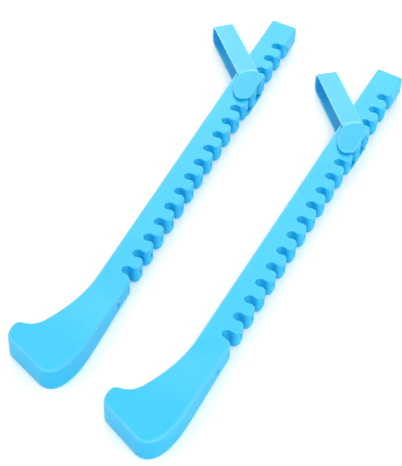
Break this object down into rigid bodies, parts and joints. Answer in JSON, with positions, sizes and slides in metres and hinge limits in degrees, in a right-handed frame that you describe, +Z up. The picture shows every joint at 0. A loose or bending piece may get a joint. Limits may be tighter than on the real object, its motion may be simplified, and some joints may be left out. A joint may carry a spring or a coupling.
{
  "type": "skate blade guard pair",
  "caption": "Pair of adjustable walking guards for ice skate blades: notched soft plastic bars with a toe cap and a hinged loop strap that hooks over the blade's heel.",
  "frame": {"origin": "middle of the pair's footprint, on the surface it lies on", "axes": "+Y along the first guard from toe to heel, +X from its blade side to its walking face, +Z up across its width"},
  "size_m": [0.1334, 0.353, 0.016],
  "materials": {
    "guard_plastic": "satin moulded soft PVC, sky blue",
    "strap_rubber": "satin moulded elastomer, sky blue"
  },
  "bodies": {
    "first_guard": {"first_guard_body": "guard_plastic"},
    "first_strap": {"first_heel_strap": "strap_rubber"},
    "second_guard": {"second_guard_body": "guard_plastic"},
    "second_strap": {"second_heel_strap": "strap_rubber"}
  },
  "joints": [
    {"name": "first_strap_hinge", "type": "hinge", "parent": "first_guard", "child": "first_strap", "pos_m": [-0.01953, 0.10849, 0.008], "axis": [0, 0, 1], "range_deg": [-22, 120]},
    {"name": "second_guard_slide", "type": "slide", "parent": "first_guard", "child": "second_guard", "axis": [1, 0, 0], "range_m": [0, 0.05]},
    {"name": "second_strap_hinge", "type": "hinge", "parent": "second_guard", "child": "second_strap", "pos_m": [0.05813, 0.08932, 0.008], "axis": [0, 0, 1], "range_deg": [-22, 120]}
  ]
}
